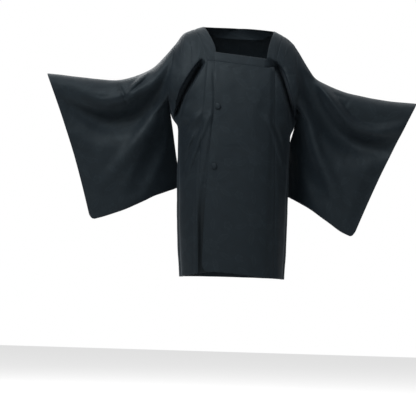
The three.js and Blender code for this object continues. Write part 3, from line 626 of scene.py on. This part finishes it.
# Band round the square neck, from the upper front's free end round behind the neck to its hidden end
def neckBand(columns=8):
    endX = upperFront["edge"]["x"][-1]
    leftCorner, rightCorner = left["neckEdge"]["out"][0], -right["neckEdge"]["out"][0]

    def level(x, lifted):
        x = np.array([x, x], float)
        z = floorOfNeck(x) - np.array([0, cloth["bandWidth"]])
        return frontSpot(x, z, liftAt(x) if lifted else np.zeros(2))

    def upright(side, row, behind):
        row = np.array(float(row))
        out = innerOut(side, row, behind)
        z = rowHeight(side, row, out, behind)
        turn = turnOfOut(side, np.maximum(out, 0.5), z)
        outer = bodyPoint(side, 1 - turn if behind else turn, z)
        edge = side["neckEdge"]
        if not behind:
            innerZ = mix(edge["z"][-1], edge["z"][0], row / cornerRow)
            innerOutHere = read(edge, "z", "out", innerZ)
            inner = bodyPoint(side, turnOfOut(side, innerOutHere, innerZ), innerZ)
            return np.stack([inner, outer])
        t = row / backNeck["rows"]
        inner = outer.copy()
        inner[0] = side["sign"] * edge["out"][-1] * math.cos(t * math.pi / 2)
        inner[1] = outer[1] - backNeck["lean"] * math.sin(t * math.pi / 2)
        inner[2] = mix(edge["z"][-1], backNeck["top"], ease(t))
        return np.stack([inner, outer])

    steps, backSteps, clear = band["steps"], band["backSteps"], band["cornerGap"]
    rail = [level(mix(endX, leftCorner - clear, i / steps), True) for i in range(steps + 1)]
    rail += [upright(left, cornerRow * (1 - i / steps), False) for i in range(steps + 1)]
    rail += [upright(left, backNeck["rows"] * i / backSteps, True) for i in range(1, backSteps)]
    rail += [upright(right, backNeck["rows"] * (1 - i / backSteps), True) for i in range(backSteps + 1)]
    rail += [upright(right, cornerRow * i / steps, False) for i in range(1, steps + 1)]
    rail += [level(mix(rightCorner + clear, band["lowerEnd"], i / steps), False) for i in range(steps + 1)]
    rail = np.array(rail)

    def surface(across, down):
        index = np.round(down * (len(rail) - 1)).astype(int)
        inner, outer = rail[index, 0], rail[index, 1]
        crown = band["crown"] * np.sin(np.clip(across, 0, 1) * math.pi) ** band["crownPower"]
        points = inner + (outer - inner) * (across * band["lap"])[..., None]
        outward = points - np.array(band["crownMiddle"])
        outward[..., 2] *= band["crownRise"]
        outward /= np.linalg.norm(outward, axis=-1, keepdims=True)
        return points + outward * crown[..., None]
    return layCloth("neckband_silk", columns, len(rail) - 1, surface, seams=("end",), centre=band["middle"])


sleeveForm = {
    # the arm's hollow, and how the two layers close below it
    "shoulder": 52, "cuff": 34, "forward": 22, "layerGap": 4, "sewnGap": 1.6,
    "hang": {"down": [0, 0.14, 0.24, 0.36, 0.55, 0.8, 1], "full": [1, 1, 0.86, 0.66, 0.5, 0.3, 0.12]},
    "swing": {"down": [0.42, 0.52, 0.65, 0.82, 1], "middle": [1, 34, 66, 92, 106],
              "half": [18, 18, 15, 10, 5]},
    "swingReach": 0.3,
    "armRows": 0.6,  # share of the ring's half that lies along the armhole
    "armHold": 0.16,  # the armhole's seam shapes the sleeve this far out
    "corner": 22, "footRound": 6, "cuffMouth": 0.47, "mouthBlend": 0.08, "cuffReach": 0.2,
    # the back layer folds with the front one where they touch, and against it where they lie apart
    "touching": 6, "apartOver": 18, "against": 0.45, "backShare": 0.5, "giveWay": 4,
    "foldStart": 0.1, "calmFoot": 40, "swagUnder": 2.6,
}


# A sleeve is a flat bag folded along its top, sewn below and part of the way up the cuff
def sleeve(name, side, columns=150, rows=96):
    form = sleeveForm
    start = side["openEdge"]["down"][0]
    topEnd = (side["topLine"]["out"][-1], side["topLine"]["z"][-1])
    footEnd = side["cuffFoot"]
    seamTop = float(armholeOut(side, np.array(0.0)))
    height, reach = abs(footEnd[1] - topEnd[1]), topEnd[0] - seamTop
    armRows = form["armRows"]

    def topCurve(along):
        out = mix(seamTop, topEnd[0], along)
        return out, read(side["topLine"], "out", "z", out)

    def footCurve(along):
        return read(side["sleeveFoot"], "along", "out", along), read(side["sleeveFoot"], "along", "z", along)

    def cuffCurve(down):
        out = mix(topEnd[0], footEnd[0], down) - side["cuffBow"] * np.sin(math.pi * down)
        return out, mix(topEnd[1], footEnd[1], down)

    def surface(around, along):
        behind = around > 0.5
        half = 1 - np.abs(around * 2 - 1)
        row = half / armRows
        hung = row > 1
        down = np.where(hung, mix(start, 1, np.sin((half - armRows) / (1 - armRows) * math.pi / 2)),
                        start * np.minimum(row, 1) ** rowPower)
        a, b = roundIn((1 - along) * reach, (1 - down) * height, form["corner"])
        alongHere, downHere = 1 - a / reach, 1 - b / height
        armRow = np.minimum(row, 1)
        armOut = armholeOut(side, armRow)
        armZ = rowHeight(side, armRow, armOut, False)
        innerEdge = (np.where(hung, read(side["openEdge"], "down", "out", downHere), armOut),
                     np.where(hung, read(side["openEdge"], "down", "z", downHere), armZ))
        top, foot, cuff = topCurve(alongHere), footCurve(alongHere), cuffCurve(downHere)
        upper, lower = (topCurve(0), topCurve(1)), (footCurve(0), footCurve(1))
        out, z = (mix(innerEdge[k], cuff[k], alongHere) + mix(top[k], foot[k], downHere)
                  - mix(mix(upper[0][k], upper[1][k], alongHere), mix(lower[0][k], lower[1][k], alongHere),
                        downHere) for k in (0, 1))
        radius = mix(form["shoulder"], form["cuff"], along)
        arch = radius * np.sqrt(np.clip(1 - (1 - np.minimum(down * height / radius, 1)) ** 2, 0, 1))
        nearCuff = ease((along - 1) / form["cuffReach"] + 1)
        closed = ease((down - form["cuffMouth"]) / (2 * form["mouthBlend"]) + 0.5) * nearCuff
        least = mix(form["layerGap"], form["sewnGap"], nearCuff)
        width = np.maximum(arch * read(form["hang"], "down", "full", down), np.minimum(least, arch))
        width = mix(width, form["sewnGap"], closed)
        inward = 1 - np.sin(np.minimum(along / read(side["crest"], "down", "along", down), 1) * math.pi / 2)
        below, swing = down > start, form["swing"]
        middle = np.where(below, read(swing, "down", "middle", down) * inward, 0) - form["forward"] * along
        swinging = inward * (1 - ease(along / form["swingReach"]))
        width = np.where(below, mix(width, read(swing, "down", "half", down), swinging), width)
        fromFoot = np.clip(1 - height * (1 - down) / form["footRound"], 0, 1)
        width = width * np.sqrt(np.clip(1 - fromFoot ** 2, 0, 1))
        folds = furrowDepth(side["sleeveFurrows"][0], out, z)
        fine = sum(furrowDepth(path, out, z) for path in side["sleeveFurrows"][1:])
        fine = fine + sum(furrowDepth(path, out, z, under=form["swagUnder"]) for path in side["swags"])
        nearArm, calm = ease(along / form["foldStart"]), ease((1 - down) * height / form["calmFoot"])
        apart = ease((width - form["touching"]) / form["apartOver"])
        folds, fine = folds * nearArm, fine * nearArm * calm
        room = 2 * width - (1 + form["backShare"]) * folds - form["layerGap"]
        against = fine * mix(1, -form["against"], apart)
        fineBehind = softMax(against, fine - np.maximum(room, 0), form["giveWay"])
        back = middle + width - folds * form["backShare"] + fineBehind
        y = np.where(behind, back, middle - width + folds + fine)
        points = np.stack([side["sign"] * out, y, z], axis=-1)
        turn = turnOfOut(side, armOut, armZ)
        seam = bodyPoint(side, np.where(behind, 1 - turn, turn), armZ)
        hold = np.where(hung, 0, 1 - ease(along / form["armHold"]))[..., None]
        return points + (seam - points) * hold
    return layCloth(name, columns, rows, surface, seams=("top",), closeRound=True, warpRound=True)


coveredButton = {
    "upper": (-60, -252), "lower": (-66, -442), "radius": 9.5, "rimHeight": 3.2, "height": 6.5,
    "back": 7.2, "backHeight": 1.6, "domePower": 0.7, "backPower": 0.8, "backTurn": 1.2, "backFall": 1.6,
    "shank": 3, "shankTaper": 0.9, "shankLength": 2.4, "shankStart": -0.1,
    # the silk is gathered under the rim in uneven pleats, which just show above it
    "pleats": 14, "uneven": 0.6, "unevenTurns": 3, "pleatAbove": 0.05, "pleatBelow": 0.16,
}


# A domed button covered in the coat's silk, on a short shank
def silkButton(name, x, z):
    form = coveredButton
    spot = np.array([float(x)]), np.array([float(z)])
    base = frontSpot(*spot, np.full(1, cloth["overlapLift"]))[0]
    turn = turnOfOut(right, -spot[0], spot[1])
    out = Vector(bodyNormal(right, turn, spot[1])[0])
    base = Vector(base) + out * (cloth["thickness"] / 2 + cloth["seamGap"])
    turned = Vector((0, 0, 1)).rotation_difference(out).to_matrix()
    mesh = bmesh.new()
    bmesh.ops.create_uvsphere(mesh, u_segments=56, v_segments=36, radius=1)
    uv = mesh.loops.layers.uv.new("cloth")
    for vert in mesh.verts:
        height = vert.co.z
        flatRadius = math.hypot(vert.co.x, vert.co.y)
        angle = math.atan2(vert.co.y, vert.co.x)
        pleat = math.cos(angle * form["pleats"] + form["uneven"] * math.sin(angle * form["unevenTurns"]))
        if height >= 0:
            radius = form["radius"] * flatRadius ** form["domePower"]
            radius += form["pleatAbove"] * pleat * (1 - height) ** 4
            rise = mix(form["rimHeight"], form["height"], height)
        else:
            radius = mix(form["radius"], form["back"], min(1, -height * form["backTurn"]))
            radius = radius * flatRadius ** form["backPower"]
            radius -= form["pleatBelow"] * pleat * flatRadius * height
            rise = mix(form["rimHeight"], form["backHeight"], ease(-height * form["backFall"]))
        vert.co = Vector((math.cos(angle) * radius, math.sin(angle) * radius, float(rise)))
        for loop in vert.link_loops:
            loop[uv].uv = ((vert.co.x + x) * mm, (vert.co.y + z) * mm)
    shank = bmesh.ops.create_cone(mesh, cap_ends=True, segments=24, radius1=form["shank"],
                                  radius2=form["shank"] * form["shankTaper"], depth=form["shankLength"])
    middle = form["shankLength"] / 2 + form["shankStart"]
    bmesh.ops.translate(mesh, vec=(0, 0, middle), verts=shank["verts"])
    for vert in mesh.verts:
        vert.co = (turned @ vert.co + base) * mm
    bmesh.ops.recalc_face_normals(mesh, faces=mesh.faces)
    return makePiece(name, mesh)


silk = {
    "ground": (0.0047, 0.0081, 0.0117), "figure": (0.0081, 0.013, 0.0173),
    "groundGloss": 0.62, "figureGloss": 0.565, "threadGloss": 0.14,
    "shader": {"Specular IOR Level": 0.27, "Specular Tint": (0.8, 0.94, 1, 1), "Sheen Weight": 0.06,
               "Sheen Roughness": 0.45, "Sheen Tint": (0.62, 0.76, 0.9, 1)},
    # noise along the weft threads, and soft clouds
    "threadScale": (26, 620, 1), "threadDetail": 4, "cloudScale": 34, "cloudDetail": 3,
    "threadTone": 0.5, "cloudTone": 0.5, "toneStart": 0.5,
    # the ribs' spacing, and how far each thing stands up, in metres
    "ribSpacing": 0.0034, "ribHeight": 0.00007, "threadHeight": 0.00022, "cloudHeight": 0.0011,
    "figureHeight": 0.00006, "bump": 0.8,
    # the woven figure's repeat, size, outline and filling
    "repeat": (0.142, 0.2), "motif": 1.72, "line": 0.0009, "filling": 0.4, "softEdge": 0.0009,
}


# A Math node in the node tree that its values come from
def calc(operation, *values):
    tree = next(value.id_data for value in values if isinstance(value, bpy.types.NodeSocket))
    node = tree.nodes.new("ShaderNodeMath")
    node.operation = operation
    for socket, value in zip(node.inputs, values):
        if isinstance(value, bpy.types.NodeSocket):
            tree.links.new(value, socket)
        else:
            socket.default_value = value
    return node.outputs[0]


def plus(a, b):
    return calc("ADD", a, b)


def minus(a, b):
    return calc("SUBTRACT", a, b)


def times(a, b):
    return calc("MULTIPLY", a, b)


def timesPlus(a, b, c):
    return calc("MULTIPLY_ADD", a, b, c)


def absolute(a):
    return calc("ABSOLUTE", a)


# One where the distance is above nought, with an edge as soft as a few threads
def inside(distance):
    value = timesPlus(distance, 1 / silk["softEdge"], 0.5)
    value.node.use_clamp = True
    return value


# A motif with a full outline and a lighter filling
def drawn(distance):
    line = inside(minus(silk["line"], absolute(minus(distance, silk["line"]))))
    return calc("MAXIMUM", line, times(inside(distance), silk["filling"]))


# Each leaf's centre, half length, half width, turn in degrees and bend
leaves = [
    ((0.021, 0.021), 0.0155, 0.0052, 38, 9), ((-0.019, 0.026), 0.0135, 0.0046, 128, -10),
    ((0.027, -0.012), 0.0125, 0.0045, -24, -8), ((-0.026, -0.007), 0.0145, 0.005, 196, 9),
    ((0.008, -0.031), 0.0145, 0.0048, -78, 8), ((-0.014, -0.034), 0.0115, 0.004, -128, -10),
    ((0.003, 0.044), 0.0125, 0.0043, 84, 8),
]
leafVeins = {"midrib": 0.0005, "spacing": 0.0036, "slant": 0.9, "from": 0.78, "depth": 0.6}
# Each blossom's centre, radius and petals
blossoms = [((0.0, 0.002), 0.0145, 8), ((0.031, 0.045), 0.008, 5), ((-0.033, -0.045), 0.0085, 5)]
blossomForm = {
    "lobe": 0.34, "lobePower": 0.6, "ring": 0.3, "ringGap": 0.0008,
    "petalGap": 0.0028, "petalGapLobe": 0.006, "petalGapTaper": 0.11,
}


def leafShape(across, up, centre, length, width, degrees, bend):
    grown, turn = silk["motif"], math.radians(degrees)
    dx, dy = minus(across, centre[0] * grown), minus(up, centre[1] * grown)
    p = plus(times(dx, math.cos(turn)), times(dy, math.sin(turn)))
    q = minus(times(dy, math.cos(turn)), times(dx, math.sin(turn)))
    square = times(p, p)
    q = absolute(timesPlus(square, bend / grown, q))
    half = timesPlus(square, -width / (length ** 2 * grown), width * grown)
    slanted = minus(p, times(q, leafVeins["slant"]))
    veins = calc("GREATER_THAN", calc("FRACT", times(slanted, 1 / leafVeins["spacing"])), leafVeins["from"])
    cut = calc("MAXIMUM", inside(minus(leafVeins["midrib"], q)), times(veins, leafVeins["depth"]))
    return minus(drawn(minus(half, q)), cut)


def blossomShape(across, up, centre, radius, petals):
    form, grown = blossomForm, silk["motif"]
    dx, dy = minus(across, centre[0] * grown), minus(up, centre[1] * grown)
    radius = radius * grown
    far = calc("SQRT", plus(times(dx, dx), times(dy, dy)))
    lobes = absolute(calc("COSINE", times(calc("ARCTAN2", dy, dx), petals / 2)))
    lobe = radius * form["lobe"]
    edge = timesPlus(calc("POWER", lobes, form["lobePower"]), lobe, radius - lobe)
    ringGap = inside(minus(form["ringGap"], absolute(minus(far, radius * form["ring"]))))
    narrowing = timesPlus(lobes, form["petalGapLobe"], -form["petalGap"])
    petalGap = inside(minus(times(far, -form["petalGapTaper"]), narrowing))
    return minus(minus(drawn(minus(edge, far)), ringGap), petalGap)


# Value of 1 on the woven figure and 0 on its ground; each column is mirrored and dropped by half a repeat
def wovenFigure(weft, warp):
    wide, tall = silk["repeat"]
    column = calc("FLOOR", calc("DIVIDE", weft, wide))
    flip = timesPlus(calc("MODULO", absolute(column), 2), -2, 1)
    across = times(minus(minus(weft, times(column, wide)), wide / 2), flip)
    row = plus(calc("DIVIDE", warp, tall), times(column, 0.5))
    up = times(minus(calc("FRACT", row), 0.5), tall)
    motifs = [blossomShape(across, up, *blossom) for blossom in blossoms]
    motifs += [leafShape(across, up, *leaf) for leaf in leaves]
    total = motifs[0]
    for motif in motifs[1:]:
        total = calc("MAXIMUM", total, motif)
    total.node.use_clamp = True
    return total


def addNode(tree, kind, source=None, **inputs):
    node = tree.nodes.new(kind)
    for name, value in inputs.items():
        node.inputs[name].default_value = value
    if source is not None:
        tree.links.new(source, node.inputs[0])
    return node


def silkMaterial(name, shaded=False):
    material = bpy.data.materials.new(name)
    material.use_nodes = True
    tree = material.node_tree
    shader = tree.nodes["Principled BSDF"]
    uvMap = addNode(tree, "ShaderNodeUVMap")
    uvMap.uv_map = "cloth"
    unrolled = uvMap.outputs[0]
    weft, warp, _ = addNode(tree, "ShaderNodeSeparateXYZ", unrolled).outputs
    stretched = addNode(tree, "ShaderNodeMapping", unrolled, Scale=silk["threadScale"]).outputs[0]
    thread, cloud = (addNode(tree, "ShaderNodeTexNoise", place, Scale=scale, Detail=detail).outputs["Fac"]
                     for place, scale, detail in ((stretched, 1, silk["threadDetail"]),
                                                  (unrolled, silk["cloudScale"], silk["cloudDetail"])))
    figure = wovenFigure(weft, warp)
    ribs = calc("SINE", times(warp, 2 * math.pi / silk["ribSpacing"]))
    colour = addNode(tree, "ShaderNodeMix", figure)
    colour.data_type = "RGBA"
    colour.inputs[6].default_value = (*silk["ground"], 1)
    colour.inputs[7].default_value = (*silk["figure"], 1)
    mottle = addNode(tree, "ShaderNodeMix")
    mottle.data_type = "RGBA"
    mottle.blend_type = "MULTIPLY"
    mottle.inputs[0].default_value = 1
    tree.links.new(colour.outputs[2], mottle.inputs[6])
    tone = timesPlus(thread, silk["threadTone"], timesPlus(cloud, silk["cloudTone"], silk["toneStart"]))
    # the shaded copy multiplies the colour by the pieces' painted shade
    if shaded:
        paintedShade = addNode(tree, "ShaderNodeAttribute")
        paintedShade.attribute_name = "shade"
        tone = times(tone, paintedShade.outputs["Fac"])
    tree.links.new(tone, mottle.inputs[7])
    tree.links.new(mottle.outputs[2], shader.inputs["Base Color"])
    gloss = timesPlus(thread, silk["threadGloss"], silk["groundGloss"] - silk["threadGloss"] / 2)
    gloss = timesPlus(figure, silk["figureGloss"] - silk["groundGloss"], gloss)
    height = timesPlus(ribs, silk["ribHeight"], times(thread, silk["threadHeight"]))
    height = timesPlus(cloud, silk["cloudHeight"], height)
    height = timesPlus(figure, silk["figureHeight"], height)
    tree.links.new(gloss, shader.inputs["Roughness"])
    bump = addNode(tree, "ShaderNodeBump", Strength=silk["bump"], Distance=1)
    tree.links.new(height, bump.inputs["Height"])
    tree.links.new(bump.outputs[0], shader.inputs["Normal"])
    for name, value in silk["shader"].items():
        shader.inputs[name].default_value = value
    return material


figuredSilk = silkMaterial("figured_silk")
# a copy of the silk whose colour carries painted shade, for the lower front
shadedSilk = silkMaterial("shaded_figured_silk", shaded=True)

# Each piece with the node it stands for, its flat size, and its flat area where the cut isn't a rectangle
pieces = [
    (bodyPanel("right_body_silk", right), "right_body_panel", (0.31, 1.62), 0.332),
    (bodyPanel("left_body_silk", left), "left_body_panel", (0.29, 1.62), 0.289),
    (frontOverlap("lower_front_silk", right, lowerFront), "lower_front_overlap", (0.21, 0.69), None),
    (frontOverlap("upper_front_silk", left, upperFront), "upper_front_overlap", (0.22, 0.69), None),
    (sideGusset("right_gusset_silk", right), "right_side_gusset", (0.07, 0.57), 0.0317),
    (sideGusset("left_gusset_silk", left), "left_side_gusset", (0.07, 0.56), 0.0314),
    (neckBand(), "neckband", (0.034, 0.93), None),
    (sleeve("right_sleeve_silk", right), "right_sleeve", (0.42, 0.98), 0.353),
    (sleeve("left_sleeve_silk", left), "left_sleeve", (0.42, 0.98), 0.342),
]
for piece, node, flat, area in pieces:
    piece.data.materials.append(shadedSilk if node == "lower_front_overlap" else figuredSilk)
    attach(piece, "root")
    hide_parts(node)
    print("laid", piece.name)
for name in ("upper", "lower"):
    knob = silkButton(name + "_silk_button", *coveredButton[name])
    knob.data.materials.append(figuredSilk)
    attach(knob, "root")
    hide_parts(name + "_button")
print("coat dressed")

studio = {
    "floor": -1.36, "floorSize": 14, "floorTone": (0.8, 0.8, 0.8),
    "camera": (-0.0825, -10, -0.576), "lens": 268.8, "roll": 1.73,
    "ambient": 0.2, "backdrop": 1.0, "floorGlow": 0.55,
}
# name, place, aim, size, power
lamps = [
    ("key_light", (-1.15, -1.75, 1.45), (-0.02, 0, -0.16), 0.9, 57),
    ("fill_light", (0.9, -3.2, 1.0), (0, 0, -0.1), 2.0, 15),
    ("back_light", (-1.5, 2.4, 1.5), (0, 0, -0.3), 1.1, 44),
    ("floor_light", (0, 1.2, 1.8), (0, 0.6, -1.36), 3.0, 60),
]
for name, place, aim, size, power in lamps:
    light = bpy.data.lights.new(name, "AREA")
    light.size = size
    light.energy = power
    lamp = bpy.data.objects.new(name, light)
    lamp.location = place
    lamp.rotation_euler = (Vector(aim) - Vector(place)).to_track_quat("-Z", "Y").to_euler()
    bpy.context.collection.objects.link(lamp)

ground = bmesh.new()
bmesh.ops.create_grid(ground, x_segments=1, y_segments=1, size=studio["floorSize"] / 2)
bmesh.ops.translate(ground, vec=(0, 0, studio["floor"]), verts=ground.verts)
floor = makePiece("floor", ground)
paper = bpy.data.materials.new("pale_floor")
paper.use_nodes = True
links, matt = paper.node_tree.links, paper.node_tree.nodes["Principled BSDF"]
matt.inputs["Base Color"].default_value = (*studio["floorTone"], 1)
matt.inputs["Roughness"].default_value = 0.9
matt.inputs["Emission Color"].default_value = (1, 1, 1, 1)
cameraRay = addNode(paper.node_tree, "ShaderNodeLightPath").outputs["Is Camera Ray"]
# the floor looks pale right to its far edge
links.new(times(cameraRay, studio["floorGlow"]), matt.inputs["Emission Strength"])
floor.data.materials.append(paper)

world = bpy.data.worlds.new("studio")
world.use_nodes = True
sky = world.node_tree.nodes["Background"]
sky.inputs[0].default_value = (1, 1, 1, 1)
# the backdrop looks white, and lights the coat dimly
seen = addNode(world.node_tree, "ShaderNodeLightPath").outputs["Is Camera Ray"]
strength = addNode(world.node_tree, "ShaderNodeMapRange", seen)
strength.inputs[3].default_value = studio["ambient"]
strength.inputs[4].default_value = studio["backdrop"]
world.node_tree.links.new(strength.outputs[0], sky.inputs[1])
bpy.context.scene.world = world

camera = bpy.data.objects.new("camera", bpy.data.cameras.new("camera"))
camera.data.lens = studio["lens"]
camera.location = studio["camera"]
level = Matrix.Rotation(math.radians(90), 3, "X")
camera.rotation_euler = (level @ Matrix.Rotation(math.radians(studio["roll"]), 3, "Z")).to_euler()
bpy.context.collection.objects.link(camera)
bpy.context.scene.camera = camera
bpy.context.scene.view_settings.view_transform = "Standard"
